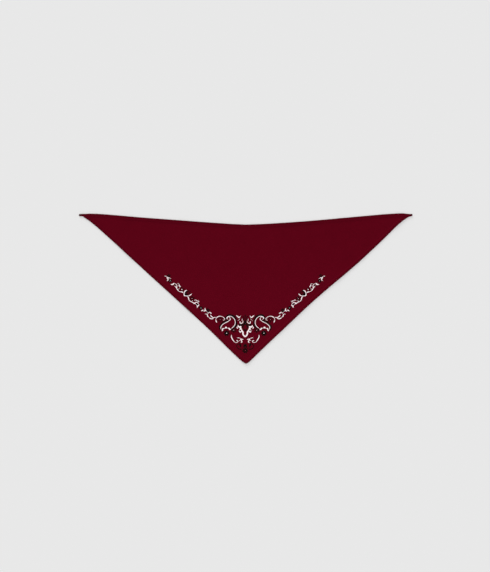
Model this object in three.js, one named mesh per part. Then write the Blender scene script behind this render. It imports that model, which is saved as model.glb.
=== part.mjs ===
// Neckerchief: a triangle of printed cotton with a narrow hem turned under along each of its three
// edges, lying flat with its printed face up. Millimetres: +X to the right, +Y towards the neck edge,
// +Z up. The origin is on the surface that the cloth lies on, under the middle of its outline.
import * as THREE from 'three';

// Outline
const tipSpan = 800; // end of one tip tail to the end of the other
const clothDepth = 360; // highest stretch of the neck edge down to the point
const neckSag = 26.6; // middle of the neck edge, below its highest stretch
const pointOffset = 1.7; // the point, to the right of the middle
const pointRadius = 5.6; // blunt end of the point
const edgeHollow = 6.6; // deepest draw-in of a side edge from its straight line
const tailLength = 9; // narrow folded end of each tip
const tailWidth = 5.4;
const tailCorner = 1.6; // rounding of a tail's two corners

// Cloth and hems
const clothThickness = 1;
const hemWidth = 5; // turned-under strip, edge to edge
const hemThickness = 1.2; // the strip's two layers pressed together
const foldLip = 1; // cloth of the fold outside the strip
const lipWall = 0.08; // lean of the fold's inner wall
const hemFall = 4; // run in which the cloth comes down from the hem to the surface
const clearance = 0.3; // between the strip and the cloth folded round it

// Divisions of the sheet
const sideColumns = 40; // from a tail to the point
const fieldRows = 6; // between the hems
const columnEvenness = 0.25; // 1 spaces the columns evenly, 0 crowds them to tail and point
const hemRoomShare = 0.85; // most of the cloth's depth that the two hem bands may fill
const pressedShare = 0.85; // share of that room at which the layers are fully pressed together

const clothColour = 0x570514;
const hemColour = 0x520513;

// Neck edge from its middle outward. outward: share of half the tip span. sag: share of neckSag.
const neckEdgeRows = [
  { outward: 0, sag: 1 },
  { outward: 0.1, sag: 0.937 },
  { outward: 0.25, sag: 0.792 },
  { outward: 0.5, sag: 0.503 },
  { outward: 0.7, sag: 0.246 },
  { outward: 0.82, sag: 0.09 },
  { outward: 0.89, sag: 0.02 },
  { outward: 0.94, sag: 0 },
  { outward: 1, sag: 0.05 },
];

// Side edges from the point up to the tail. up: share of the run. hollow: share of edgeHollow,
// below 0 where the edge bellies out.
const leftEdgeRows = [
  { up: 0, hollow: 0 },
  { up: 0.06, hollow: 0.02 },
  { up: 0.14, hollow: 0.32 },
  { up: 0.25, hollow: 0.77 },
  { up: 0.38, hollow: 0.84 },
  { up: 0.6, hollow: 0.81 },
  { up: 0.9, hollow: 0.86 },
  { up: 0.96, hollow: 0.53 },
  { up: 1, hollow: 0 },
];
const rightEdgeRows = [
  { up: 0, hollow: 0 },
  { up: 0.05, hollow: 0.23 },
  { up: 0.12, hollow: 0.46 },
  { up: 0.25, hollow: 0.66 },
  { up: 0.38, hollow: 0.86 },
  { up: 0.5, hollow: 0.6 },
  { up: 0.68, hollow: -0.18 },
  { up: 0.8, hollow: -0.16 },
  { up: 0.92, hollow: 0.22 },
  { up: 0.96, hollow: 0.2 },
  { up: 1, hollow: 0 },
];

// Half-round fold at the outer edge. inward: share of foldLip. rise: share of half the hem's height.
const foldRows = [
  { inward: 0, rise: 0.24 },
  { inward: 0.35, rise: 0.8 },
  { inward: 1, rise: 1 },
];

// Section across a hem, from the outer edge inward: heights of the cloth's upper and under face.
const hemTop = hemThickness + clearance + clothThickness;
const stripOuter = foldLip + clearance;
const stripInner = stripOuter + hemWidth;
const hollowEnd = stripInner + clearance;
const hollowRoof = hemThickness + clearance;
const hemSection = [
  ...foldRows.map(({ inward, rise }) => ({
    inset: foldLip * inward,
    upper: hemTop / 2 * (1 + rise),
    under: hemTop / 2 * (1 - rise),
  })),
  { inset: foldLip + lipWall, upper: hemTop, under: hollowRoof },
  { inset: hollowEnd, upper: hemTop, under: hollowRoof },
  { inset: hollowEnd + hemFall / 2, upper: clothThickness + hollowRoof / 2, under: hollowRoof / 2 },
  { inset: hollowEnd + hemFall, upper: clothThickness, under: 0 },
];

const halfSpan = tipSpan / 2;
const sagAt = smoothCurve(neckEdgeRows, 'outward', 'sag');
const leftHollowAt = smoothCurve(leftEdgeRows, 'up', 'hollow');
const rightHollowAt = smoothCurve(rightEdgeRows, 'up', 'hollow');

function smoothCurve(rows, place, value) {
  const curve = new THREE.CubicInterpolant(
    rows.map((row) => row[place]),
    rows.map((row) => row[value]),
    1,
  );
  return (at) => curve.evaluate(at)[0];
}

function neckEdge(x) {
  return clothDepth / 2 - neckSag * sagAt(Math.abs(x) / halfSpan);
}

function sideEdge(x) {
  const side = x < pointOffset ? -1 : 1;
  const root = side * (halfSpan - tailLength);
  const run = Math.abs(root - pointOffset);
  const fromPoint = Math.abs(x - pointOffset);
  if (fromPoint >= run) {
    return neckEdge(x) - tailWidth;
  }
  const rise = neckEdge(root) - tailWidth + clothDepth / 2;
  const blunt = pointRadius * rise / run;
  const climb = (Math.hypot(fromPoint, blunt) - blunt) / (Math.hypot(run, blunt) - blunt);
  const hollowAt = side < 0 ? leftHollowAt : rightHollowAt;
  return -clothDepth / 2 + rise * climb + edgeHollow * hollowAt(fromPoint / run);
}

// How much the rounded corners take off each edge close to the end of a tail.
function cornerCut(x) {
  const past = Math.max(0, tailCorner - (halfSpan - Math.abs(x)));
  return tailCorner - Math.sqrt(Math.max(0, tailCorner ** 2 - past ** 2));
}

// Height of the line that runs inside an edge at a set distance, measured square to the edge.
// inward is 1 where the cloth lies above the edge, and -1 where it lies below.
function insetLine(edge, inward, x, inset) {
  const samples = 16;
  let line = edge(x) + inward * inset;
  for (let sample = 1; sample < samples; sample++) {
    const reach = inset * (2 * sample / samples - 1);
    const at = THREE.MathUtils.clamp(x + reach, -halfSpan, halfSpan);
    const y = edge(at) + inward * Math.sqrt(inset ** 2 - reach ** 2);
    line = inward > 0 ? Math.max(line, y) : Math.min(line, y);
  }
  return line;
}

// Places of the columns, from the left tail's end to the right one's.
function columnPlaces() {
  const tail = [0, tailCorner * 0.3, tailCorner, (tailCorner + tailLength) / 2];
  const places = [];
  for (const side of [-1, 1]) {
    for (const fromEnd of tail) {
      places.push(side * (halfSpan - fromEnd));
    }
    const root = side * (halfSpan - tailLength);
    for (let column = 0; column < sideColumns; column++) {
      const even = column / sideColumns;
      const crowded = 0.5 - 0.5 * Math.cos(Math.PI * even);
      const share = columnEvenness * even + (1 - columnEvenness) * crowded;
      places.push(THREE.MathUtils.lerp(root, pointOffset, share));
    }
  }
  places.push(pointOffset);
  return places.sort((a, b) => a - b);
}

// One column of the sheet: the heights of its rows, and how far the hems are open in it. Where the
// tips are too narrow for both hems, the layers lie pressed together and the cloth is solid.
function clothColumn(x) {
  const cut = cornerCut(x);
  const low = sideEdge(x) + cut;
  const high = neckEdge(x) - cut;
  const lowBand = hemSection.map(({ inset }) => insetLine(sideEdge, 1, x, inset) - sideEdge(x));
  const highBand = hemSection.map(({ inset }) => neckEdge(x) - insetLine(neckEdge, -1, x, inset));
  const needed = lowBand.at(-1) + highBand.at(-1);
  const fit = Math.min(1, (high - low) * hemRoomShare / needed);
  const rows = lowBand.map((rise, index) => ({ y: low + rise * fit, section: hemSection[index] }));
  const fieldLow = low + lowBand.at(-1) * fit;
  const fieldHigh = high - highBand.at(-1) * fit;
  for (let row = 1; row <= fieldRows; row++) {
    const share = row / (fieldRows + 1);
    rows.push({ y: THREE.MathUtils.lerp(fieldLow, fieldHigh, share), section: hemSection.at(-1) });
  }
  for (let index = hemSection.length - 1; index >= 0; index--) {
    rows.push({ y: high - highBand[index] * fit, section: hemSection[index] });
  }
  return { x, rows, open: THREE.MathUtils.smoothstep(fit, pressedShare, 1) };
}

// Height of the upper or under face at one row, between pressed together and open.
function faceHeight(column, section, isUpper) {
  const opened = isUpper ? section.upper : section.under;
  if (section.inset <= foldLip) {
    return opened;
  }
  return THREE.MathUtils.lerp(isUpper ? hemTop : 0, opened, column.open);
}

// A box whose vertices are moved to the places that a function gives for its column, row and side.
function shapedSheet(columnCount, rowCount, placeOf) {
  const sheet = new THREE.BoxGeometry(1, 1, 1, columnCount - 1, rowCount - 1, 1);
  const position = sheet.getAttribute('position');
  for (let vertex = 0; vertex < position.count; vertex++) {
    const column = Math.round((position.getX(vertex) + 0.5) * (columnCount - 1));
    const row = Math.round((position.getY(vertex) + 0.5) * (rowCount - 1));
    const place = placeOf(column, row, position.getZ(vertex) > 0);
    position.setXYZ(vertex, place.x, place.y, place.z);
  }
  sheet.computeVertexNormals();
  return sheet;
}

const columns = columnPlaces().map(clothColumn);

function clothPanel() {
  return shapedSheet(columns.length, columns[0].rows.length, (columnIndex, rowIndex, isUpper) => {
    const column = columns[columnIndex];
    const row = column.rows[rowIndex];
    return { x: column.x, y: row.y, z: faceHeight(column, row.section, isUpper) };
  });
}

// The flat strip that one hem turns under, between two places along an edge.
function hemStrip(edge, inward, places) {
  return shapedSheet(places.length, 2, (columnIndex, rowIndex, isUpper) => {
    const x = places[columnIndex];
    const insets = inward > 0 ? [stripOuter, stripInner] : [stripInner, stripOuter];
    return {
      x,
      y: insetLine(edge, inward, x, insets[rowIndex]),
      z: isUpper ? hemThickness : 0,
    };
  });
}

const openPlaces = columns.filter((column) => column.open === 1).map((column) => column.x);
const leftPlaces = openPlaces.filter((x) => x < pointOffset);
const rightPlaces = openPlaces.filter((x) => x > pointOffset);

function clothMaterial(colour) {
  return new THREE.MeshStandardMaterial({ color: colour, roughness: 0.92, metalness: 0 });
}

function addPiece(name, geometry, colour) {
  const piece = new THREE.Mesh(geometry, clothMaterial(colour));
  piece.name = name;
  neckerchief.add(piece);
}

const neckerchief = new THREE.Group();
addPiece('cloth_panel', clothPanel(), clothColour);
addPiece('neck_hem', hemStrip(neckEdge, -1, openPlaces), hemColour);
addPiece('left_side_hem', hemStrip(sideEdge, 1, [...leftPlaces, pointOffset - clearance / 2]), hemColour);
addPiece('right_side_hem', hemStrip(sideEdge, 1, [pointOffset + clearance / 2, ...rightPlaces]), hemColour);

export default neckerchief;
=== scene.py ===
import math
from bisect import bisect_right

import bpy
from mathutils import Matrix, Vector
from mathutils.bvhtree import BVHTree


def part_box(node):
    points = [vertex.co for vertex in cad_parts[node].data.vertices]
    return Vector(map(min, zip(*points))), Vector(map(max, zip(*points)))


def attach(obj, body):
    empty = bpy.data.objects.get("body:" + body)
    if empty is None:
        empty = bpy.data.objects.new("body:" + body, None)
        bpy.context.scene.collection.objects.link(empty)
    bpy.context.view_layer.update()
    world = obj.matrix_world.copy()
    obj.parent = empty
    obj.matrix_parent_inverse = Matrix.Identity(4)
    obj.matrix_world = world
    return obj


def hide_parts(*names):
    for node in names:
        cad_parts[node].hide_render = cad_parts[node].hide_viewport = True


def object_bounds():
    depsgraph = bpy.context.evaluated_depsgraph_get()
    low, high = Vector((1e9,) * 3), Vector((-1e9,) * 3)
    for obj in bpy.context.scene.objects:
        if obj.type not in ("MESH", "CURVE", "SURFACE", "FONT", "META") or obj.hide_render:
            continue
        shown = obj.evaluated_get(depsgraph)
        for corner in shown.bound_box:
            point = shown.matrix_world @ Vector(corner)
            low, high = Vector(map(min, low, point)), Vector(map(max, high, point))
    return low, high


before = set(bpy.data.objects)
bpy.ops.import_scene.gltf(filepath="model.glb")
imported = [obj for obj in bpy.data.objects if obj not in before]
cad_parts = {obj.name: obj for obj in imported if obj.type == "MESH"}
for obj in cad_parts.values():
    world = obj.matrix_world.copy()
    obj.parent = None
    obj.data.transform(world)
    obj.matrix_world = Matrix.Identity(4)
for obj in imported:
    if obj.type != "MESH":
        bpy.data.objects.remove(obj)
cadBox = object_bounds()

# Burgundy cotton neckerchief with a printed paisley border, laid flat, printed face up.
# Metres, same frame as the CAD: +X right, +Y towards the neck edge, +Z up.
mm = 0.001
print("frame loaded:", ", ".join(sorted(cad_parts)))

# Camera straight above the cloth. Pixels are in the photo's own frame.
viewValues = {
    "frameHeight": 572,
    "frameMiddle": (245.0, 286.0),
    "clothMiddle": (245.5, 288.5),   # middle of the outline in that frame
    "clothSpan": 333,                # tip to tip in that frame
    "lens": 85,
    "sensor": 36,
    "farthest": 50,
}
studioValues = {
    "floorSide": 60.0,
    "floorColour": (0.808, 0.808, 0.808),
    "floorRoughness": 0.9,
    "fillStrength": 0.861,
    "fillColour": (1.0, 1.0, 1.0),
    "keyStrength": 2.1,
    "keyWidth": 16,                  # degrees across, for soft shadows
    "keyTilt": 78,                   # degrees off the vertical: a low light, so thin cloth casts a shadow
    "keyTurn": 200,                  # from above the neck edge, a little to the left
    "keyHeight": 2,
}


def clearSelection():
    for thing in bpy.context.selected_objects:
        thing.select_set(False)


def makeOnly(thing):
    clearSelection()
    thing.select_set(True)
    bpy.context.view_layer.objects.active = thing


def addCamera():
    lowest, highest = cadBox
    pixel = (highest.x - lowest.x) / viewValues["clothSpan"]
    height = viewValues["frameHeight"] * pixel
    middle = (lowest + highest) / 2
    shiftX = (viewValues["clothMiddle"][0] - viewValues["frameMiddle"][0]) * pixel
    shiftY = (viewValues["clothMiddle"][1] - viewValues["frameMiddle"][1]) * pixel
    away = height * viewValues["lens"] / viewValues["sensor"]
    clearSelection()
    bpy.ops.object.camera_add(location=(middle.x - shiftX, middle.y + shiftY, away), rotation=(0, 0, 0))
    camera = bpy.context.object
    camera.name = "photoCamera"
    camera.data.lens = viewValues["lens"]
    camera.data.sensor_width = viewValues["sensor"]
    camera.data.clip_end = viewValues["farthest"]
    bpy.context.scene.camera = camera


def addStudio():
    clearSelection()
    bpy.ops.mesh.primitive_plane_add(size=studioValues["floorSide"], location=(0, 0, 0))
    floor = bpy.context.object
    floor.name = "studioFloor"
    paper = bpy.data.materials.new("palePaper")
    paper.use_nodes = True
    shader = paper.node_tree.nodes["Principled BSDF"]
    shader.inputs["Base Color"].default_value = (*studioValues["floorColour"], 1)
    shader.inputs["Roughness"].default_value = studioValues["floorRoughness"]
    shader.inputs["Specular IOR Level"].default_value = 0.0
    floor.data.materials.append(paper)

    world = bpy.data.worlds.new("studioFill")
    bpy.context.scene.world = world
    world.use_nodes = True
    sky = world.node_tree.nodes["Background"]
    sky.inputs["Color"].default_value = (*studioValues["fillColour"], 1)
    sky.inputs["Strength"].default_value = studioValues["fillStrength"]

    tilt = math.radians(studioValues["keyTilt"])
    turn = math.radians(studioValues["keyTurn"])
    clearSelection()
    place = (0, 0, studioValues["keyHeight"])
    bpy.ops.object.light_add(type="SUN", location=place, rotation=(tilt, 0, turn))
    key = bpy.context.object
    key.name = "softKey"
    key.data.energy = studioValues["keyStrength"]
    key.data.angle = math.radians(studioValues["keyWidth"])
    bpy.context.scene.view_settings.view_transform = "Standard"


addCamera()
addStudio()
print("camera and studio ready")


# The laid cloth's small unevenness beside the CAD's outline: (place along x, change in y), millimetres.
edgeTrims = {
    "neck": [(-400, -0.1), (-396, 0.1), (-392, -0.1), (-385, -0.45), (-375, -0.33), (-350, -0.1),
             (-330, -0.2), (-270, -0.28), (-250, -0.08), (-210, 0.27), (-170, 0.52), (-100, 0.62),
             (-70, 0.66), (-45, 0.33), (-10, 0.12), (10, -0.1), (50, -0.3), (90, -0.47), (140, -0.66),
             (170, -0.43), (210, -0.25), (250, 0.05), (290, 0.15), (330, 0.36), (350, 0.25),
             (377, 0.48), (385, 0.1), (391, -0.15), (395, -0.3), (398, 0.2), (400, 0.3)],
    "side": [(-400, 0.7), (-396.5, 0.25), (-394, 0), (-390, -0.55), (-384, -0.7), (-376, -0.4),
             (-350, -0.45), (-335, -0.78), (-290, -0.77), (-250, -0.3), (-170, -0.32), (-110, -0.28),
             (-70, 0.03), (-30, -0.38), (-5, -0.35), (10, -0.2), (35, 0.15), (60, 0.15), (100, 0.03),
             (170, 0.15), (210, -0.1), (300, 0.1), (332, -0.35), (352, -0.15), (364, 0.45),
             (370, -0.05), (378, -0.2), (382, -0.95), (386.8, -1.7), (389.5, -2.4), (391.6, -2.2),
             (394, -1.3), (396.4, 0.1), (400, 0.9)],
    "rightReach": 0.9,               # how far the right tail's end lies past the CAD's
}


def trimAt(rows, x):
    for (before, low), (after, high) in zip(rows, rows[1:]):
        if x <= after:
            share = max(0, (x - before) / (after - before))
            return low + (high - low) * share
    return rows[-1][1]


# The outline comes from the CAD cloth: its columns give the neck edge and the side edges.
def readOutline(node):
    sameColumn = 0.05 * mm
    corners = sorted((v.co.x, v.co.y) for v in node.data.vertices)
    columns = [[corners[0]]]
    for corner in corners[1:]:
        if corner[0] - columns[-1][-1][0] > sameColumn:
            columns.append([])
        columns[-1].append(corner)
    places = [column[0][0] for column in columns]
    upper = [max(y for x, y in column) for column in columns]
    lower = [min(y for x, y in column) for column in columns]
    for heights, trims in ((upper, edgeTrims["neck"]), (lower, edgeTrims["side"])):
        # cornerCut rounds the tails' corners, so the lines run straight out here
        heights[0] = heights[1] = heights[2]
        heights[-1] = heights[-2] = heights[-3]
        for index, place in enumerate(places):
            heights[index] += trimAt(trims, place / mm) * mm
    places[-1] += edgeTrims["rightReach"] * mm
    return places, upper, lower


def smoothLine(places, heights):
    # a curve through the columns, with the slope at each taken from its neighbours
    last = len(places) - 1
    slopes = []
    for index in range(last + 1):
        before, after = max(index - 1, 0), min(index + 1, last)
        slopes.append((heights[after] - heights[before]) / (places[after] - places[before]))

    def heightAt(x):
        index = min(max(bisect_right(places, x) - 1, 0), last - 1)
        gap = places[index + 1] - places[index]
        t = min(max((x - places[index]) / gap, 0), 1)
        start, end = heights[index], heights[index + 1]
        return (start * (1 + 2 * t) * (1 - t) ** 2 + slopes[index] * gap * t * (1 - t) ** 2
                + end * t * t * (3 - 2 * t) - slopes[index + 1] * gap * t * t * (1 - t))
    return heightAt


outlinePlaces, outlineUpper, outlineLower = readOutline(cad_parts["cloth_panel"])
neckLine = smoothLine(outlinePlaces, outlineUpper)
sideLine = smoothLine(outlinePlaces, outlineLower)
leftEnd, rightEnd = outlinePlaces[0], outlinePlaces[-1]
pointX = outlinePlaces[outlineLower.index(min(outlineLower))]
pointY, topY = min(outlineLower), max(outlineUpper)


def slopeOf(line, x):
    step = 1.5 * mm
    before, after = max(x - step, leftEnd), min(x + step, rightEnd)
    return (line(after) - line(before)) / (after - before)


def insetLine(line, inward, x, inset):
    # runs inside an edge at a set distance; inward is 1 above a side edge, -1 below the neck edge
    samples = 16
    best = line(x) + inward * inset
    for sample in range(1, samples):
        reach = inset * (2 * sample / samples - 1)
        y = line(min(max(x + reach, leftEnd), rightEnd)) + inward * math.sqrt(inset ** 2 - reach ** 2)
        best = max(best, y) if inward > 0 else min(best, y)
    return best


def ease(t):
    t = min(max(t, 0), 1)
    return t * t * (3 - 2 * t)


def mix(a, b, t):
    return a + (b - a) * t


def crowdedShare(t, evenness):
    # evenness 1 spaces the shares evenly, 0 crowds them to both ends
    return evenness * t + (1 - evenness) * (0.5 - 0.5 * math.cos(math.pi * t))


def newMesh(name, points, faces):
    mesh = bpy.data.meshes.new(name)
    mesh.from_pydata(points, [], faces)
    mesh.validate()
    mesh.update()
    thing = bpy.data.objects.new(name, mesh)
    bpy.context.scene.collection.objects.link(thing)
    return thing


def setTone(thing, values, name="paintedShadeTone"):
    tone = thing.data.attributes.new(name, "FLOAT", "POINT")
    tone.data.foreach_set("value", values)


def clothShell(name, columns):
    # columns of rows, each row (x, y, height of the upper face, height of the under face, tone, which
    # carries the painted shade of the hems and tails)
    rows = len(columns[0])
    upper = [(x, y, top) for column in columns for x, y, top, low, tone in column]
    under = [(x, y, low) for column in columns for x, y, top, low, tone in column]
    faces = []
    sides = []
    shift = len(upper)
    for c in range(len(columns) - 1):
        for r in range(rows - 1):
            a, b = c * rows + r, (c + 1) * rows + r
            faces.append((a, b, b + 1, a + 1))
            sides.append((a + 1 + shift, b + 1 + shift, b + shift, a + shift))
    ring = [c * rows for c in range(len(columns))]
    ring += [(len(columns) - 1) * rows + r for r in range(1, rows)]
    ring += [c * rows + rows - 1 for c in range(len(columns) - 2, -1, -1)]
    ring += [r for r in range(rows - 2, 0, -1)]
    for here, there in zip(ring, ring[1:] + ring[:1]):
        faces.append((here, here + shift, there + shift, there))
    shell = newMesh(name, upper + under, faces + sides)
    setTone(shell, [row[4] for column in columns for row in column] * 2)
    return shell


def smoothShade(thing, degrees):
    makeOnly(thing)
    bpy.ops.object.shade_smooth_by_angle(angle=math.radians(degrees))


# Cloth sheet: one layer of cotton, folded round the hem strips at its edges.
clothValues = {
    "thickness": 0.5 * mm,
    "foldRun": 0.9 * mm,            # half-round fold at the outer edge
    "foldAngles": (8, 30, 52, 72, 90),   # rows round that fold, in degrees
    "lipWall": 0.1 * mm,
    "edgeLift": 0.08 * mm,          # under face of the fold, over the surface
    "lowestUnder": 0.03 * mm,
    "bandInsets": (2.2 * mm, 3.5 * mm, 4.4 * mm, 4.8 * mm, 5.1 * mm, 5.4 * mm, 5.8 * mm),
    "hemFall": 2.2 * mm,            # run in which the cloth comes down from the hem
    "fallRows": 5,
    "stitchInset": 5.1 * mm,
    "stitchDip": 0.2 * mm,
    "stitchDipWidth": 0.34 * mm,
    "underDipShare": 0.3,           # how much of that dip the under face follows
    "columnsPerSide": 190,
    "columnEvenness": 0.6,
    "fieldRows": 40,
    "rowEvenness": 0.55,
    "tailSteps": (0, 0.03, 0.1, 0.22, 0.4, 0.65, 0.95, 1.3, 1.7, 2.1, 2.8, 3.7, 4.8, 6, 7.4),
    "tailRoot": 9 * mm,             # from a tail's end; the steps above are millimetres
    "tailCorner": 1.7 * mm,
    "hemRoomShare": 0.85,           # most of the depth that the hem bands may fill near the tips
    "pressedShare": 0.85,           # where the tips' layers are fully pressed together
    "waveHeight": 0.55 * mm,        # slow waves of cloth laid down by hand
    "waveStart": 8 * mm,
    "waveFade": 26 * mm,
    "puckerHeight": 0.11 * mm,      # small gathers that the stitching draws in
    "puckerStart": 2 * mm,
    "puckerReach": 7 * mm,
    "puckerFade": 9 * mm,
    "puckerRun": (1.15, 0.2),       # place along an edge, from x and y
    "edgeLiftHeight": 0.9 * mm,     # stretches of the edges that don't quite touch the surface
    "edgeLiftPower": 1.5,
    "edgeLiftFade": 24 * mm,
    "edgeLiftFromTip": 30 * mm,
    "hemShade": 0.86,                # painted shade: the hem band is painted darker, for three layers over each other that let less light through
    "hemToneFade": 1.4 * mm,
    "tailShade": 0.66,               # painted shade: the pressed layers of a tail are painted darker still
    "tailLength": 11 * mm,
    "neckTone": 0.995,              # the cloth is a shade lighter towards the point
    "pointTone": 1.075,
    "smoothAngle": 45,
}
# Slow waves: direction in degrees, wavelength in metres, start, share of the height
clothWaves = [
    {"turn": 38, "length": 0.152, "start": 0.4, "share": 0.42},
    {"turn": -47, "length": 0.118, "start": 2.1, "share": 0.33},
    {"turn": 81, "length": 0.083, "start": 4.0, "share": 0.25},
]
# Gathers along a hem: wavelength in metres, start, share of the height
hemGathers = [
    {"length": 0.0071, "start": 0.2, "share": 0.45},
    {"length": 0.0117, "start": 1.9, "share": 0.35},
    {"length": 0.0193, "start": 3.3, "share": 0.2},
]
# Stretches where an edge stands off the surface: wavelength in metres along x, start, share
edgeStretches = [
    {"length": 0.137, "start": 2.6, "share": 0.6},
    {"length": 0.071, "start": 0.9, "share": 0.4},
]
# Turned-under strips of the three hems
stripValues = {
    "inset": 1.3 * mm,              # outer edge of the strip, as in the CAD
    "width": 5.0 * mm,
    "lift": 0.1 * mm,
    "thickness": 0.8 * mm,
    "gap": 0.05 * mm,
    "columnRun": 2.4 * mm,
    "lowestLift": -0.04 * mm,
    # across the strip: share of the width, share of the thickness
    "section": ((0.0, 0.107), (0.03, 0.643), (0.09, 1.0), (0.5, 1.0),
                (0.91, 1.0), (0.97, 0.643), (1.0, 0.107)),
    "smoothAngle": 50,
}


def swing(part, along):
    return math.sin(math.tau * along / part["length"] + part["start"])


def waveAt(x, y):
    total = 0
    for wave in clothWaves:
        turn = math.radians(wave["turn"])
        along = x * math.cos(turn) + y * math.sin(turn)
        total += wave["share"] * (0.5 + 0.5 * swing(wave, along))
    return total * clothValues["waveHeight"]


def gatherAt(x, y):
    alongX, alongY = clothValues["puckerRun"]
    along = alongX * x + alongY * y
    return sum(gather["share"] * swing(gather, along) for gather in hemGathers)


def liftAt(x, y):
    # how far the cloth stands over its flat place: waves in the field, gathers and lifts by the hems
    v = clothValues
    fromSide = (y - sideLine(x)) / math.hypot(1, slopeOf(sideLine, x))
    fromNeck = (neckLine(x) - y) / math.hypot(1, slopeOf(neckLine, x))
    fromEdge = max(0, min(fromSide, fromNeck))
    byHem = ease(fromEdge / v["puckerStart"])
    byHem *= math.exp(-max(0, fromEdge - v["puckerReach"]) / v["puckerFade"])
    lift = v["puckerHeight"] * gatherAt(x, y) * byHem
    lift += waveAt(x, y) * ease((fromEdge - v["waveStart"]) / v["waveFade"])
    stand = sum(stretch["share"] * swing(stretch, x) for stretch in edgeStretches)
    atEdge = math.exp(-(fromEdge / v["edgeLiftFade"]) ** 2)
    atEdge *= ease((x - leftEnd) / v["edgeLiftFromTip"]) * ease((rightEnd - x) / v["edgeLiftFromTip"])
    return lift + v["edgeLiftHeight"] * max(0, stand) ** v["edgeLiftPower"] * atEdge


def sheetPlaces():
    v = clothValues
    places = []
    for end, inward in ((leftEnd, 1), (rightEnd, -1)):
        places += [end + inward * step * mm for step in v["tailSteps"]]
        root = end + inward * v["tailRoot"]
        for column in range(v["columnsPerSide"]):
            share = crowdedShare(column / v["columnsPerSide"], v["columnEvenness"])
            places.append(mix(root, pointX, share))
    return sorted(places + [pointX])


def hemSection():
    # rows from the outer edge inward: inset, upper and under height with the hem open
    v = clothValues
    stripTop = stripValues["lift"] + stripValues["thickness"] + stripValues["gap"]
    stripEnd = stripValues["inset"] + stripValues["width"] + stripValues["gap"]
    top = stripTop + v["thickness"]
    middle = top / 2
    rows = []
    for degrees in v["foldAngles"]:
        inset = v["foldRun"] * (1 - math.cos(math.radians(degrees)))
        rise = math.sin(math.radians(degrees))
        rows.append((inset, mix(middle, top, rise), mix(middle, v["edgeLift"], rise)))
    first = rows[0][0]
    rows = [(inset - first, upper, under) for inset, upper, under in rows]
    rows.append((v["foldRun"] + v["lipWall"], top, stripTop))
    for inset in v["bandInsets"]:
        dip = v["stitchDip"] * math.exp(-((inset - v["stitchInset"]) / v["stitchDipWidth"]) ** 2)
        rows.append((inset, top - dip, stripTop - dip * v["underDipShare"]))
    rows.append((stripEnd, top, stripTop))
    for row in range(1, v["fallRows"] + 1):
        share = row / v["fallRows"]
        upper = mix(top, v["thickness"] + v["edgeLift"], ease(share))
        under = mix(stripTop, v["edgeLift"], ease(share))
        rows.append((stripEnd + v["hemFall"] * share, upper, under))
    return rows, top


hemRows, hemTop = hemSection()
hemReach = hemRows[-1][0]


def cornerCut(x):
    # how much a tail's rounded corner takes off each edge
    radius = clothValues["tailCorner"]
    past = min(radius, max(0, radius - min(x - leftEnd, rightEnd - x)))
    return radius - math.sqrt(radius ** 2 - past ** 2)


def sideBand(x, inset):
    return insetLine(sideLine, 1, x, inset) - sideLine(x)


def neckBand(x, inset):
    return neckLine(x) - insetLine(neckLine, -1, x, inset)


def hemFit(x):
    # near the tips the two hems have to share the cloth's depth, and get narrower
    depth = neckLine(x) - sideLine(x) - 2 * cornerCut(x)
    return min(1, depth * clothValues["hemRoomShare"] / (sideBand(x, hemReach) + neckBand(x, hemReach)))


def sheetTone(x, y, inset, opened):
    v = clothValues
    # painted shade: darker in the hem band, and darker still towards the tails' ends
    fromEnd = min(x - leftEnd, rightEnd - x)
    inTail = mix(v["tailShade"], 1, ease(fromEnd / v["tailLength"]))
    hemShaded = 1 - ease((inset - v["stitchInset"]) / v["hemToneFade"]) * opened
    inHem = mix(1, v["hemShade"], hemShaded)
    return inHem * inTail * mix(v["neckTone"], v["pointTone"], ease((topY - y) / (topY - pointY)))


def sheetColumn(x):
    v = clothValues
    fit = hemFit(x)
    opened = ease((fit - v["pressedShare"]) / (1 - v["pressedShare"]))
    low, high = sideLine(x) + cornerCut(x), neckLine(x) - cornerCut(x)
    lowRows = [(low + sideBand(x, row[0]) * fit, row) for row in hemRows]
    highRows = [(high - neckBand(x, row[0]) * fit, row) for row in hemRows]
    fieldLow, fieldHigh = lowRows[-1][0], highRows[-1][0]
    fieldRows = []
    for row in range(1, v["fieldRows"] + 1):
        share = crowdedShare(row / (v["fieldRows"] + 1), v["rowEvenness"])
        fieldRows.append((mix(fieldLow, fieldHigh, share), hemRows[-1]))
    column = []
    for y, (inset, upper, under) in lowRows + fieldRows + highRows[::-1]:
        if inset > v["foldRun"]:
            upper, under = mix(hemTop, upper, opened), mix(v["edgeLift"], under, opened)
        lift = liftAt(x, y)
        tone = sheetTone(x, y, inset, opened)
        column.append((x, y, upper + lift, max(under + lift, v["lowestUnder"]), tone))
    return column


def addClothSheet():
    sheet = clothShell("clothSheet", [sheetColumn(x) for x in sheetPlaces()])
    smoothShade(sheet, clothValues["smoothAngle"])
    return sheet


def addHemStrip(name, node, line, inward, material):
    # two layers turned under, pressed to a flat band with rounded long edges
    s = stripValues
    low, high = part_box(node)
    count = round((high.x - low.x) / s["columnRun"])
    middle = s["lift"] + s["thickness"] / 2
    columns = []
    for step in range(count + 1):
        x = mix(low.x, high.x, step / count)
        rows = []
        for across, fullness in s["section"]:
            y = insetLine(line, inward, x, s["inset"] + s["width"] * across)
            half = s["thickness"] / 2 * fullness
            lift = liftAt(x, y)
            rows.append((x, y, middle + half + lift, middle - half + max(lift, s["lowestLift"]), 1.0))
        columns.append(rows if inward > 0 else rows[::-1])
    strip = clothShell(name, columns)
    smoothShade(strip, s["smoothAngle"])
    strip.data.materials.append(material)
    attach(strip, "root")
    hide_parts(node)
    return strip
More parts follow.
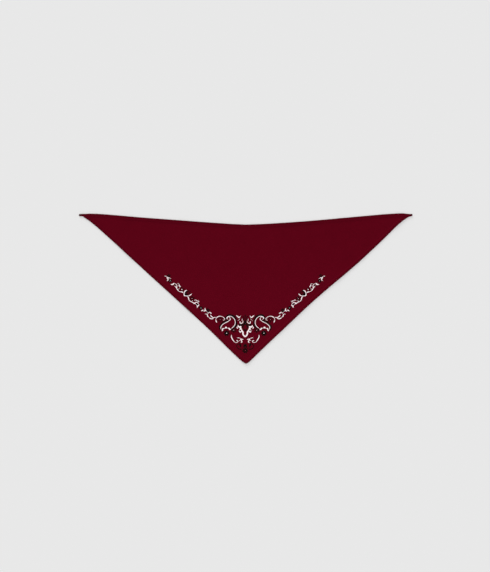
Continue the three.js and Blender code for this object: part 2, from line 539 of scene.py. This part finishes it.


# Materials. Colours are linear, sheen is the soft rim of light on the fibres, the thread gap shade is
# painted
# shade: how much darker the gaps between threads are painted, and cover is how much of a thread the ink
# takes.
looks = {
    "cloth": {"colour": (0.0982, 0.00158, 0.00775), "roughness": 0.92, "sheen": 0.08, "slubs": 0.16,
              "clouds": 0.12, "threadGapShade": 0.75, "hemShaded": True},
    "clothBack": {"colour": (0.125, 0.005, 0.015), "roughness": 0.95, "sheen": 0.1, "slubs": 0.16,
                  "clouds": 0.12, "threadGapShade": 0.75, "hemShaded": True},
    "hem": {"colour": (0.0982, 0.00158, 0.00775), "roughness": 0.93, "sheen": 0.08, "slubs": 0.16,
            "clouds": 0.12, "threadGapShade": 0.75, "hemShaded": True},
    # painted highlight: the thread's colour is a little lighter than the cloth's, for the light a smooth
    # thread catches
    "thread": {"colour": (0.118, 0.0026, 0.0105), "roughness": 0.6, "sheen": 0.25, "slubs": 0.3,
               "clouds": 0.05, "threadGapShade": 0.2},
    "lightInk": {"colour": (0.975, 0.935, 0.945), "roughness": 0.85, "sheen": 0.0, "slubs": 0.02,
                 "clouds": 0.02, "threadGapShade": 0.1, "edgeColour": (0.66, 0.05, 0.085), "edgeShare": 0.5,
                 "cover": 1.03},
    "darkInk": {"colour": (0.0045, 0.0045, 0.0043), "roughness": 0.85, "sheen": 0.0, "slubs": 0.1,
                "clouds": 0.1, "threadGapShade": 0.8, "cover": 1.04},
}
weaveValues = {
    "pitch": 0.42 * mm,             # one thread to the next
    "turn": math.radians(45),       # threads run along the two side edges
    "depth": 0.12 * mm,
    "bumpStrength": 0.8,
    "meanHeight": 0.533,            # of the woven surface, so that shading keeps the colour's mean
    "crownBow": 0.45,               # how far a thread bends down under the next one
    "crownPower": 1.5,
    "sheenRoughness": 0.45,
    "sheenTint": (0.5, 0.012, 0.045),
}
yarnValues = {
    "across": 0.3,                  # noise cells to a thread
    "along": 0.012,
    "detail": 3.0,
    "cloudScale": 26.0,
    "cloudDetail": 4.0,
}
inkValues = {
    "grainScale": 900.0,
    "grainDetail": 2.0,
    "grainWear": 0.35,
    "gapWear": 0.16,                # less ink in the gaps between threads
}


def newGroup(name, inputs, outputs):
    tree = bpy.data.node_groups.new(name, "ShaderNodeTree")
    for label, kind, value in inputs:
        socket = tree.interface.new_socket(name=label, in_out="INPUT", socket_type=kind)
        if value is not None:
            socket.default_value = value
    for label, kind in outputs:
        tree.interface.new_socket(name=label, in_out="OUTPUT", socket_type=kind)
    return tree, tree.nodes.new("NodeGroupInput"), tree.nodes.new("NodeGroupOutput")


def mathNode(tree, operation, *values):
    # a value is a number or the socket that gives it
    node = tree.nodes.new("ShaderNodeMath")
    node.operation = operation
    for socket, value in zip(node.inputs, values):
        if isinstance(value, (int, float)):
            socket.default_value = value
        else:
            tree.links.new(value, socket)
    return node.outputs[0]


def noiseNode(tree, vector, scale, detail):
    # noise from -0.5 to 0.5
    noise = tree.nodes.new("ShaderNodeTexNoise")
    noise.inputs["Scale"].default_value = scale
    noise.inputs["Detail"].default_value = detail
    tree.links.new(vector, noise.inputs["Vector"])
    return mathNode(tree, "SUBTRACT", noise.outputs["Fac"], 0.5)


def threadCoordinates(tree, vector, pitch, turn):
    # position counted in threads, along both thread directions
    rotate = tree.nodes.new("ShaderNodeVectorRotate")
    rotate.rotation_type = "Z_AXIS"
    tree.links.new(vector, rotate.inputs["Vector"])
    tree.links.new(turn, rotate.inputs["Angle"])
    split = tree.nodes.new("ShaderNodeSeparateXYZ")
    tree.links.new(rotate.outputs[0], split.inputs[0])
    return (mathNode(tree, "DIVIDE", split.outputs["X"], pitch),
            mathNode(tree, "DIVIDE", split.outputs["Y"], pitch))


def buildPlainWeave():
    tree, given, out = newGroup(
        "plainWeave",
        [("Position", "NodeSocketVector", None), ("Pitch", "NodeSocketFloat", weaveValues["pitch"]),
         ("Turn", "NodeSocketFloat", weaveValues["turn"])],
        [("Height", "NodeSocketFloat"), ("Crown", "NodeSocketFloat")])
    u, v = threadCoordinates(tree, given.outputs["Position"], given.outputs["Pitch"], given.outputs["Turn"])
    crowns = []
    for place in (u, v):
        share = mathNode(tree, "FRACT", place)
        crowns.append(mathNode(tree, "SINE", mathNode(tree, "MULTIPLY", share, math.pi)))
    overs = []
    for thread, crossed in (crowns, crowns[::-1]):
        bow = mathNode(tree, "MULTIPLY_ADD", crossed, weaveValues["crownBow"], 1 - weaveValues["crownBow"])
        overs.append(mathNode(tree, "MULTIPLY", thread, bow))
    cells = mathNode(tree, "ADD", mathNode(tree, "FLOOR", u), mathNode(tree, "FLOOR", v))
    turnOver = mathNode(tree, "FLOORED_MODULO", cells, 2.0)
    blend = tree.nodes.new("ShaderNodeMix")
    tree.links.new(turnOver, blend.inputs[0])
    tree.links.new(overs[0], blend.inputs[2])
    tree.links.new(overs[1], blend.inputs[3])
    tree.links.new(blend.outputs[0], out.inputs["Height"])
    crown = mathNode(tree, "POWER", blend.outputs[0], weaveValues["crownPower"])
    tree.links.new(crown, out.inputs["Crown"])
    return tree


def buildYarnTone():
    # a tone near 1: thick and thin yarns in both directions, and slow cloudy dyeing
    tree, given, out = newGroup(
        "yarnTone",
        [("Position", "NodeSocketVector", None), ("Pitch", "NodeSocketFloat", weaveValues["pitch"]),
         ("Turn", "NodeSocketFloat", weaveValues["turn"]), ("Slubs", "NodeSocketFloat", 0.1),
         ("Clouds", "NodeSocketFloat", 0.06)],
        [("Tone", "NodeSocketFloat")])
    u, v = threadCoordinates(tree, given.outputs["Position"], given.outputs["Pitch"], given.outputs["Turn"])
    streaks = []
    for across, along in ((u, v), (v, u)):
        place = tree.nodes.new("ShaderNodeCombineXYZ")
        tree.links.new(mathNode(tree, "MULTIPLY", across, yarnValues["across"]), place.inputs["X"])
        tree.links.new(mathNode(tree, "MULTIPLY", along, yarnValues["along"]), place.inputs["Y"])
        streaks.append(noiseNode(tree, place.outputs[0], 1.0, yarnValues["detail"]))
    clouds = noiseNode(tree, given.outputs["Position"], yarnValues["cloudScale"], yarnValues["cloudDetail"])
    slubs = mathNode(tree, "MULTIPLY", mathNode(tree, "ADD", *streaks), given.outputs["Slubs"])
    dye = mathNode(tree, "MULTIPLY", clouds, given.outputs["Clouds"])
    tree.links.new(mathNode(tree, "ADD", mathNode(tree, "ADD", slubs, dye), 1.0), out.inputs["Tone"])
    return tree


def buildInkCover():
    # how much of the ink is on the threads: thin in the gaps between them, and here and there worn
    tree, given, out = newGroup(
        "inkCover",
        [("Position", "NodeSocketVector", None), ("Crown", "NodeSocketFloat", 1.0),
         ("Cover", "NodeSocketFloat", 0.9)],
        [("Mask", "NodeSocketFloat")])
    grain = noiseNode(tree, given.outputs["Position"], inkValues["grainScale"], inkValues["grainDetail"])
    speck = mathNode(tree, "MULTIPLY", grain, inkValues["grainWear"])
    crown = mathNode(tree, "SUBTRACT", given.outputs["Crown"], 0.5)
    gaps = mathNode(tree, "MULTIPLY", crown, inkValues["gapWear"])
    mask = mathNode(tree, "ADD", mathNode(tree, "ADD", speck, gaps), given.outputs["Cover"])
    mask.node.use_clamp = True
    tree.links.new(mask, out.inputs["Mask"])
    return tree


plainWeave = buildPlainWeave()
yarnTone = buildYarnTone()
inkCover = buildInkCover()


def placeGroup(tree, group, position):
    node = tree.nodes.new("ShaderNodeGroup")
    node.node_tree = group
    tree.links.new(position, node.inputs["Position"])
    return node


def attributeValue(tree, name):
    node = tree.nodes.new("ShaderNodeAttribute")
    node.attribute_name = name
    return node.outputs["Fac"]


def mixColours(tree, share, first, second, blend="MIX"):
    node = tree.nodes.new("ShaderNodeMix")
    node.data_type = "RGBA"
    node.blend_type = blend
    for socket, value in ((node.inputs[0], share), (node.inputs[6], first), (node.inputs[7], second)):
        if isinstance(value, tuple):
            socket.default_value = (*value, 1)
        elif isinstance(value, float):
            socket.default_value = value
        else:
            tree.links.new(value, socket)
    return node.outputs[2]


def setSurface(shader, look):
    shader.inputs["Roughness"].default_value = look["roughness"]
    shader.inputs["Specular IOR Level"].default_value = 0.0
    shader.inputs["Sheen Weight"].default_value = look["sheen"]
    shader.inputs["Sheen Roughness"].default_value = weaveValues["sheenRoughness"]
    shader.inputs["Sheen Tint"].default_value = (*weaveValues["sheenTint"], 1)


def addWeaveBump(tree, weave, shader):
    bump = tree.nodes.new("ShaderNodeBump")
    bump.inputs["Strength"].default_value = weaveValues["bumpStrength"]
    bump.inputs["Distance"].default_value = weaveValues["depth"]
    tree.links.new(weave.outputs["Height"], bump.inputs["Height"])
    tree.links.new(bump.outputs["Normal"], shader.inputs["Normal"])


def toneWithPaintedShade(tree, weave, yarn, look):
    # painted shade: the colour is darker in the gaps between threads and lighter on the thread tops
    over = mathNode(tree, "SUBTRACT", weave.outputs["Height"], weaveValues["meanHeight"])
    threadGapShade = mathNode(tree, "ADD", mathNode(tree, "MULTIPLY", over, look["threadGapShade"]), 1.0)
    tone = mathNode(tree, "MULTIPLY", yarn.outputs["Tone"], threadGapShade)
    # painted shade of the hems and tails, read from the sheet's attribute
    if look.get("hemShaded"):
        tone = mathNode(tree, "MULTIPLY", tone, attributeValue(tree, "paintedShadeTone"))
    return tone


def inkColour(tree, look):
    # ink lies thick along the middle of a stroke and soaks away at its sides
    core = mathNode(tree, "DIVIDE", attributeValue(tree, "crest"), look["edgeShare"])
    core.node.use_clamp = True
    return mixColours(tree, core, look["edgeColour"], look["colour"])


def cottonMaterial(name, look):
    material = bpy.data.materials.new(name)
    material.use_nodes = True
    tree = material.node_tree
    shader = tree.nodes["Principled BSDF"]
    setSurface(shader, look)
    position = tree.nodes.new("ShaderNodeTexCoord").outputs["Object"]
    weave = placeGroup(tree, plainWeave, position)
    yarn = placeGroup(tree, yarnTone, position)
    yarn.inputs["Slubs"].default_value = look["slubs"]
    yarn.inputs["Clouds"].default_value = look["clouds"]
    addWeaveBump(tree, weave, shader)
    tone = toneWithPaintedShade(tree, weave, yarn, look)
    colour = inkColour(tree, look) if "edgeColour" in look else look["colour"]
    finished = mixColours(tree, 1.0, colour, tone, "MULTIPLY")
    if "cover" in look:
        mask = placeGroup(tree, inkCover, position)
        mask.inputs["Cover"].default_value = look["cover"]
        tree.links.new(weave.outputs["Crown"], mask.inputs["Crown"])
        finished = mixColours(tree, mask.outputs["Mask"], looks["cloth"]["colour"], finished)
    tree.links.new(finished, shader.inputs["Base Color"])
    return material


clothFront = cottonMaterial("burgundyCotton", looks["cloth"])
clothBack = cottonMaterial("burgundyCottonBack", looks["clothBack"])
hemCotton = cottonMaterial("burgundyHem", looks["hem"])
sewingThread = cottonMaterial("burgundyThread", looks["thread"])
lightInk = cottonMaterial("offWhiteInk", looks["lightInk"])
darkInk = cottonMaterial("blackInk", looks["darkInk"])
print("materials ready")

clothSheet = addClothSheet()
clothSheet.data.materials.append(clothFront)
clothSheet.data.materials.append(clothBack)
for face in clothSheet.data.polygons:
    face.material_index = 1 if face.normal.z < -0.5 else 0
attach(clothSheet, "root")
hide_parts("cloth_panel")
print("cloth sheet:", len(clothSheet.data.polygons), "faces")

hems = [
    addHemStrip("neckHemStrip", "neck_hem", neckLine, -1, hemCotton),
    addHemStrip("leftHemStrip", "left_side_hem", sideLine, 1, hemCotton),
    addHemStrip("rightHemStrip", "right_side_hem", sideLine, 1, hemCotton),
]
print("hem strips:", len(hems))

# Anything that lies on the cloth takes its height from the finished sheet.
sheetTree = BVHTree.FromPolygons([v.co for v in clothSheet.data.vertices],
                                 [p.vertices for p in clothSheet.data.polygons])


def clothHeight(x, y):
    above = 50 * mm
    hit = sheetTree.ray_cast(Vector((x, y, above)), Vector((0, 0, -1)))
    return hit[0].z if hit[0] else 0.0


# Stitching: one rounded stitch, copied along each hem.
stitchValues = {
    "length": 2.2 * mm,
    "pitch": 2.8 * mm,
    "thread": 0.42 * mm,
    "flatness": 0.8,                # height over width
    "swell": 0.35,                  # keeps the thread's full width almost to its ends
    "segments": 8,
    "rings": 6,
    "neckFromTip": 4 * mm,          # the long row runs out into the tails
    "sideFromTip": 17 * mm,
    "fromPoint": 7 * mm,
    "smoothAngle": 80,
}


def modelStitch():
    v = stitchValues
    clearSelection()
    bpy.ops.mesh.primitive_uv_sphere_add(segments=v["segments"], ring_count=v["rings"], radius=0.5,
                                         location=(0, 0, 0), rotation=(0, math.pi / 2, 0))
    stitch = bpy.context.object
    bpy.ops.object.transform_apply(location=False, rotation=True, scale=False)
    stitch.scale = (v["length"], v["thread"], v["thread"] * v["flatness"])
    bpy.ops.object.transform_apply(location=False, rotation=False, scale=True)
    points = [vertex.co.copy() for vertex in stitch.data.vertices]
    # Blender's sphere lists its faces in another order each time, so they are sorted
    faces = sorted(tuple(face.vertices) for face in stitch.data.polygons)
    bpy.data.objects.remove(stitch)
    for point in points:
        reach = abs(point.x) / (v["length"] / 2)
        swell = 1 + v["swell"] * ease(reach) * (1 - reach)
        point.y *= swell
        point.z *= swell
    return points, faces


stitchPoints, stitchFaces = modelStitch()


def stitchPlace(line, inward, x):
    # on the stitching line of a hem, which closes in on the edge where the hem narrows
    inset = insetLine(line, inward, x, clothValues["stitchInset"]) - line(x)
    return line(x) + inward * cornerCut(x) + inset * hemFit(x)


def addStitches(name, line, inward, fromX, toX):
    points, faces = [], []
    x = fromX
    while x < toX:
        slope = (stitchPlace(line, inward, x + mm) - stitchPlace(line, inward, x - mm)) / (2 * mm)
        run = math.hypot(1, slope)
        y = stitchPlace(line, inward, x)
        centre = Vector((x, y, clothHeight(x, y)))
        along = Vector((1, slope, 0)) / run
        across = Vector((-along.y, along.x, 0))
        first = len(points)
        points += [centre + along * p.x + across * p.y + Vector((0, 0, p.z)) for p in stitchPoints]
        faces += [tuple(first + corner for corner in face) for face in stitchFaces]
        x += stitchValues["pitch"] / run
    row = newMesh(name, points, faces)
    smoothShade(row, stitchValues["smoothAngle"])
    row.data.materials.append(sewingThread)
    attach(row, "root")
    return row


neckGap, tipGap = stitchValues["neckFromTip"], stitchValues["sideFromTip"]
pointGap = stitchValues["fromPoint"]
stitchRows = [
    addStitches("neckStitches", neckLine, -1, leftEnd + neckGap, rightEnd - neckGap),
    addStitches("leftStitches", sideLine, 1, leftEnd + tipGap, pointX - pointGap),
    addStitches("rightStitches", sideLine, 1, pointX + pointGap, rightEnd - tipGap),
]
print("stitch rows:", len(stitchRows))

# Printed ornament. Every stroke is a list of (outward from the middle line, up from the point,
# width), in millimetres, for the right half; the left half is its mirror image.
ornamentValues = {
    "middle": -0.8 * mm,
    "up": -0.3 * mm,
    "reach": {
        1: {"scale": 1.004, "pull": 0.038, "pullFrom": 95},
        -1: {"scale": 0.9945, "pull": 0, "pullFrom": 95},
    },
    "flatness": 0.1,                # height of a stroke over its width
    "lightLift": 0.10 * mm,
    "darkLift": 0.06 * mm,
    "crestFrom": 0.02 * mm,         # what rises over this is the crest of a stroke, before it is flattened
    "curveSteps": 8,
    "sideSteps": 1,
    "weld": 0.002 * mm,
    "levelGap": 10 * mm,            # strokes are welded one by one, each at a level of its own
    "smoothAngle": 60,
    # share of a stroke's end width past its end, and share of the width there
    "roundEnd": ((0.26, 0.82), (0.44, 0.3)),
    # share of a flower's radius, and share of the petal's width there
    "petalRows": ((0.3, 0.55), (0.62, 1.0), (0.92, 0.5)),
    "eyeReach": 0.12,
}
lightStrokes = {
    "sprigArm": [(193.5, 210.2, 1.6), (189.2, 209.4, 0.5), (187.7, 205.7, 3.2), (184.4, 206.3, 1.5),
                 (179.1, 203.9, 0.5)],
    "sprigLeg": [(186.5, 204.7, 0.6), (186.5, 201.3, 2.5), (188.4, 199.3, 0.8)],
    "sprigTip": [(185.7, 205.7, 1.5), (183.3, 207.1, 0.5)],
    "leafLow": [(179.8, 190.3, 0.6), (174.1, 190.8, 3.4), (172.4, 192.9, 1.8), (170.6, 192.5, 0.8),
                (166.2, 190.2, 1.4), (165, 188.1, 1.5), (165.6, 182.6, 2.3)],
    "vineTop": [(170.2, 186.8, 0.9), (165.9, 182, 1.7), (163.2, 177.5, 1.7), (158.8, 173.5, 1),
                (153.1, 172.4, 2.1), (151.5, 171.7, 2.8), (149.6, 170.5, 0.5)],
    "curlTop": [(163.5, 193.1, 0.5), (159.8, 191.2, 0.9), (159.1, 186.7, 2.5), (155.6, 185.1, 0.5)],
    "curlIn": [(156.6, 185, 0.5), (158.8, 181.3, 0.5), (162.6, 178.2, 1.2)],
    "cup": [(141.1, 176.4, 1), (144, 175.1, 2.3), (146.5, 172.3, 2.1), (147.6, 167, 1.9),
            (146.6, 163.7, 2.5), (144, 163, 1.6), (141.1, 162.7, 1.9), (135.9, 162.9, 1.5),
            (131.7, 165.5, 2.2), (128.7, 168, 0.5)],
    "vineMid": [(138.9, 160.8, 1.1), (137, 158.4, 2.5), (135.2, 152.5, 1.5), (132.3, 149.8, 1.4),
                (126.3, 147, 1.6), (122.1, 144.9, 3), (119.9, 146.9, 1.9), (116.1, 146.8, 1.7),
                (112.3, 142.5, 0.8), (111.9, 140.4, 1.9), (114.4, 138.7, 2.5), (115.8, 135, 1.4)],
    "vineFork": [(120.9, 143.7, 0.9), (117.8, 141.1, 0.5), (115.6, 137.2, 1.8)],
    "vineSpur": [(129.2, 148.5, 1.2), (126.9, 151.8, 0.8)],
    "leafMid": [(122.4, 151.8, 0.9), (120.3, 153.1, 1.2), (115.9, 150.7, 1.3), (111, 149.9, 1)],
    "leafMidTail": [(113.8, 151.6, 0.7), (112.2, 147.5, 1)],
    "seedLeaf": [(105.8, 126.5, 1), (103.8, 127.9, 2.5), (101.1, 128.6, 1.8)],
    "starUp": [(97.1, 133.9, 0.5), (96.7, 130, 2.3), (96.2, 129.1, 2.4), (99.1, 126.1, 2.1)],
    "starOut": [(95.5, 127.6, 1.4), (93.5, 125.8, 1), (89.7, 122.3, 0.5)],
    "scrollC": [(81.3, 120.9, 1), (82.8, 121.3, 2.4), (86.3, 123.6, 1.4), (88.5, 121.8, 1.2),
                (91, 119.1, 0.6), (90.3, 113.9, 2.3), (87.8, 111.4, 0.5), (85.3, 109.3, 2.1),
                (79.4, 107.8, 1.9), (77.7, 109.2, 2), (75.4, 110.9, 1.6), (71.2, 111.3, 1.2)],
    "scrollLeaf": [(96.4, 118.9, 0.8), (94.7, 119.5, 0.9), (91.1, 117, 1.6)],
    "scrollInner": [(84, 117.2, 0.5), (81.9, 114.1, 2.2), (78.1, 111.2, 1.7)],
    "arch": [(68.7, 99, 1), (70.2, 102.6, 2.9), (70.7, 103.1, 1.4), (69.8, 109, 1), (67.2, 111.9, 2),
             (63.2, 113.7, 1.7), (59, 114, 1.3), (54.9, 112.9, 1.1), (51.6, 110.2, 1.4), (49.4, 107.4, 1.2),
             (52.7, 104.2, 1)],
    "paisleyBack": [(40.7, 106, 0.5), (43.2, 107.5, 0.7), (43.9, 108.9, 2.6), (42, 112.5, 2.2),
                    (38.8, 113.6, 1.8), (34.2, 113.7, 1.3), (30.5, 111.6, 1.3), (25.6, 105.9, 1.5),
                    (23.9, 100.6, 1.4), (23.9, 98.6, 1.4), (25.3, 93, 1.4), (29, 88, 1.5), (32, 85.8, 1.4)],
    "paisleyBelly": [(39.6, 112.7, 1.4), (36.3, 109.2, 1), (35.9, 106.9, 1.8), (38.6, 103.4, 1.4),
                     (43.1, 100.6, 1.6), (47.8, 98.2, 1.4), (52.5, 95.3, 1.3), (56.8, 91.5, 1.6),
                     (59.1, 85.8, 1.7), (59.1, 85.7, 1), (57.6, 82.5, 1)],
    "paisleyFoot": [(55.8, 79.1, 1.5), (55.1, 79.5, 2.4), (53.4, 84.3, 2.6), (49, 84.7, 0.6),
                    (46.4, 86.6, 4.9), (43.2, 85.4, 0.6), (39.3, 84.9, 2.7), (36.4, 82.1, 2.8),
                    (34.5, 83.4, 0.5), (32.4, 85.5, 0.5)],
    "crestArm": [(20.9, 115.4, 1.5), (18.1, 113.4, 2.3), (15, 111.1, 2.6), (11.6, 114.7, 0.7)],
    "crestLeaf": [(13.4, 107.9, 0.8), (14.9, 105.4, 0.6), (17.3, 103.8, 0.7)],
    "hook": [(7.2, 107.3, 1.3), (6.8, 102.7, 0.9), (4.9, 101.1, 1), (8.8, 97.1, 1.8), (11.9, 97.5, 1.7),
             (12.3, 100.6, 2.2)],
    "palmetteTop": [(17.2, 91.8, 1.8), (14.7, 88.2, 3.5), (10.9, 88.4, 4.3)],
    "palmetteCurl": [(16.2, 89.7, 0.6), (19.5, 87.6, 1.8), (18.6, 85.1, 2.3)],
    "palmetteArm": [(11.5, 89.2, 0.6), (9.9, 84.4, 2.4), (8.2, 79.7, 3.2), (5.5, 75.9, 3.6),
                    (5.2, 71.1, 3.5), (2.5, 66.9, 3.4), (0, 64.8, 2.7)],
    "palmetteRing": [(11.3, 83.6, 4.4), (13.3, 82, 0.9), (14, 78.4, 1.2), (12, 76.2, 3), (9.3, 77.7, 2.2)],
    "lowScroll": [(33.1, 68.9, 0.9), (33.3, 64.9, 2), (31.1, 59.5, 2.5), (28.1, 55.1, 1.8),
                  (24.6, 51.2, 0.7), (21.3, 50.9, 1.1), (17.8, 52.1, 0.9), (17.9, 54.4, 1.8),
                  (20.4, 55.9, 1.5)],
    "lowSprig": [(19.1, 62.2, 0.6), (15.5, 62, 1.5), (11.9, 60.5, 0.7), (8.8, 59, 2.1), (4.9, 58.3, 1.3)],
    "lowSprigLeg": [(10.7, 57.9, 2.2), (8.1, 51.8, 2.1), (10.8, 50.7, 0.5)],
    "lowSprigSide": [(11.5, 57.1, 0.5), (13.8, 55.2, 1.2)],
}
darkStrokes = {
    "backLine": [(46.2, 105.5, 1.9), (47.5, 110.1, 3.2), (45.1, 113.3, 3.3), (41.1, 116, 4.1),
                 (37.3, 116.7, 4.5), (31.7, 115.4, 3.6), (26.5, 112.3, 5.2), (22.4, 107.1, 2.8),
                 (21.2, 100.2, 3.4), (21.6, 93.5, 4), (24.6, 88.4, 4.3), (28.9, 84.7, 1.3),
                 (32.6, 80.6, 3.1)],
    "bellyLine": [(41.8, 104, 3.4), (48.8, 100.9, 4.2), (53.9, 99.4, 3.3), (58.1, 93.9, 3.5),
                  (61.3, 90, 3.8), (61.5, 85, 2.9), (59.9, 80.1, 1.9)],
    "crestStem": [(0, 114, 1), (0, 109.1, 1.4), (0, 102.6, 2.8), (0, 97.3, 2.9)],
    "crestYoke": [(14.8, 95.3, 1.6), (12.5, 93, 5.6), (7.6, 93.8, 3), (3.6, 96.1, 1.8), (0, 99.6, 4.3)],
    "diamond": [(0, 95.4, 0.6), (4, 92.2, 3.2), (4.9, 85.9, 1.1), (3.6, 83.3, 1.6), (0, 79.3, 4)],
    "diamondSide": [(5.7, 91.9, 1), (6.9, 87.7, 2.4)],
    "cupLine": [(139.9, 174.7, 2.7), (144, 171, 3.6), (143.7, 165.3, 4.1), (138.9, 164.8, 2.5)],
    "forkDrop": [(118, 144.2, 1.4), (114.9, 141.8, 3.9), (113.5, 140, 1.3)],
    "leafDrop": [(170.5, 190.2, 2.5), (168.6, 188.2, 1.4)],
    "pointLeafInner": [(13.9, 48.6, 2.3), (12.1, 45.4, 4.1), (10.8, 41.2, 2.7)],
    "pointLeafOuter": [(16.1, 46.9, 1.6), (20.6, 43.2, 1.6), (19.3, 39.6, 1.5), (16.4, 36.1, 1.7),
                       (9.6, 34.7, 2.4)],
    "pointStem": [(0, 44, 1.8), (3.6, 40.1, 2.1), (1.2, 38.3, 0.4)],
}
# Black flowers: radius and number of petals, petal width, and width of the light eye
flowers = [
    {"outward": 184.3, "up": 211.2, "radius": 4.7, "petals": 5, "petal": 2.8, "eye": 0},
    {"outward": 181.4, "up": 199, "radius": 4.8, "petals": 5, "petal": 3.3, "eye": 1.1},
    {"outward": 152.8, "up": 178.2, "radius": 6.8, "petals": 5, "petal": 2.1, "eye": 2.1},
    {"outward": 137.7, "up": 170, "radius": 7.2, "petals": 6, "petal": 2.4, "eye": 0},
    {"outward": 128.3, "up": 156.5, "radius": 6.7, "petals": 5, "petal": 3.1, "eye": 1.1},
    {"outward": 106.7, "up": 133.7, "radius": 4.9, "petals": 5, "petal": 3.3, "eye": 1.2},
    {"outward": 90.2, "up": 128.1, "radius": 5.2, "petals": 5, "petal": 3.5, "eye": 0},
    {"outward": 60.6, "up": 105.7, "radius": 7.3, "petals": 6, "petal": 2.4, "eye": 0.6},
    {"outward": 44.8, "up": 73.2, "radius": 7.2, "petals": 7, "petal": 3.9, "eye": 1.9},
    {"outward": 27.5, "up": 80.4, "radius": 7, "petals": 6, "petal": 2.8, "eye": 1.1},
    {"outward": 0, "up": 109.8, "radius": 8.2, "petals": 6, "petal": 2.5, "eye": 0},
    {"outward": 0, "up": 31.7, "radius": 7.5, "petals": 7, "petal": 3.6, "eye": 0.4},
    {"outward": 0, "up": 44.1, "radius": 4.4, "petals": 5, "petal": 2.9, "eye": 0.8},
    {"outward": 0, "up": 101.8, "radius": 3.1, "petals": 4, "petal": 3, "eye": 0.4},
    {"outward": 0, "up": 96, "radius": 2, "petals": 4, "petal": 2, "eye": 0.5},
]


def petalStrokes(flower):
    strokes = []
    radius = flower["radius"]
    for petal in range(flower["petals"]):
        turn = math.tau * petal / flower["petals"] + math.pi / 2
        strokes.append([(flower["outward"] + math.cos(turn) * radius * share,
                         flower["up"] + math.sin(turn) * radius * share, flower["petal"] * wide)
                        for share, wide in ornamentValues["petalRows"]])
    return strokes


def eyeStroke(flower):
    reach = flower["eye"] * ornamentValues["eyeReach"]
    return [(flower["outward"] - reach, flower["up"], flower["eye"]),
            (flower["outward"] + reach, flower["up"], flower["eye"])]


def roundedEnds(stroke):
    # two more points at each end, so that a stroke closes in a small round tip
    ends = []
    for end, inner in ((stroke[0], stroke[1]), (stroke[-1], stroke[-2])):
        away = Vector((end[0] - inner[0], end[1] - inner[1])).normalized() * end[2]
        ends.append([(end[0] + away.x * reach, end[1] + away.y * reach, end[2] * width)
                     for reach, width in ornamentValues["roundEnd"]])
    return ends[0][::-1] + list(stroke) + ends[1]


def drawnSides(strokes, centred=False):
    # each stroke with a side that it is drawn on; one on the middle line is its own mirror image
    drawn = []
    for stroke in strokes:
        onMiddle = centred or all(outward == 0 for outward, up, width in stroke)
        drawn += [(stroke, side) for side in ((1,) if onMiddle else (1, -1))]
    return drawn


def printPlace(outward, up, side):
    # the cloth is stretched a little less along its right edge than along its left one
    reach = ornamentValues["reach"][side]
    away = outward * reach["scale"] - reach["pull"] * max(0, outward - reach["pullFrom"])
    return (ornamentValues["middle"] + side * away * mm, pointY + ornamentValues["up"] + up * mm)


def strokeCurve(name, drawn):
    # every stroke is a tube with its own level and its own widths
    curve = bpy.data.curves.new(name, "CURVE")
    curve.dimensions = "3D"
    curve.resolution_u = ornamentValues["curveSteps"]
    curve.bevel_depth = 1.0
    curve.bevel_resolution = ornamentValues["sideSteps"]
    curve.use_fill_caps = True
    for level, (stroke, side) in enumerate(drawn):
        rows = roundedEnds(stroke)
        spline = curve.splines.new("BEZIER")
        spline.radius_interpolation = "CARDINAL"
        spline.bezier_points.add(len(rows) - 1)
        for bezier, (outward, up, width) in zip(spline.bezier_points, rows):
            bezier.co = (*printPlace(outward, up, side), level * ornamentValues["levelGap"])
            bezier.radius = width * mm / 2
            bezier.handle_left_type = bezier.handle_right_type = "AUTO"
    drawing = bpy.data.objects.new(name, curve)
    bpy.context.scene.collection.objects.link(drawing)
    return drawing


def addPrint(name, drawn, lift, material):
    makeOnly(strokeCurve(name, drawn))
    bpy.ops.object.convert(target="MESH")
    bpy.ops.object.mode_set(mode="EDIT")
    bpy.ops.mesh.select_all(action="SELECT")
    bpy.ops.mesh.remove_doubles(threshold=ornamentValues["weld"])
    bpy.ops.object.mode_set(mode="OBJECT")
    printed = bpy.context.object
    gap = ornamentValues["levelGap"]
    for vertex in printed.data.vertices:
        vertex.co.z -= round(vertex.co.z / gap) * gap
    # the crest keeps which part of a stroke was on top; then the tubes are pressed flat on the cloth
    crest = [float(vertex.co.z > ornamentValues["crestFrom"]) for vertex in printed.data.vertices]
    setTone(printed, crest, "crest")
    for vertex in printed.data.vertices:
        rise = vertex.co.z * ornamentValues["flatness"]
        vertex.co.z = clothHeight(vertex.co.x, vertex.co.y) + lift + rise
    smoothShade(printed, ornamentValues["smoothAngle"])
    printed.data.materials.clear()
    printed.data.materials.append(material)
    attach(printed, "root")
    return printed


darkList = drawnSides(darkStrokes.values())
lightList = drawnSides(lightStrokes.values())
for flower in flowers:
    darkList += drawnSides(petalStrokes(flower), flower["outward"] == 0)
    if flower["eye"]:
        lightList += drawnSides([eyeStroke(flower)], flower["outward"] == 0)
ornament = [
    addPrint("ornamentDark", darkList, ornamentValues["darkLift"], darkInk),
    addPrint("ornamentLight", lightList, ornamentValues["lightLift"], lightInk),
]
print("ornament:", [len(piece.data.polygons) for piece in ornament], "faces")

clearSelection()
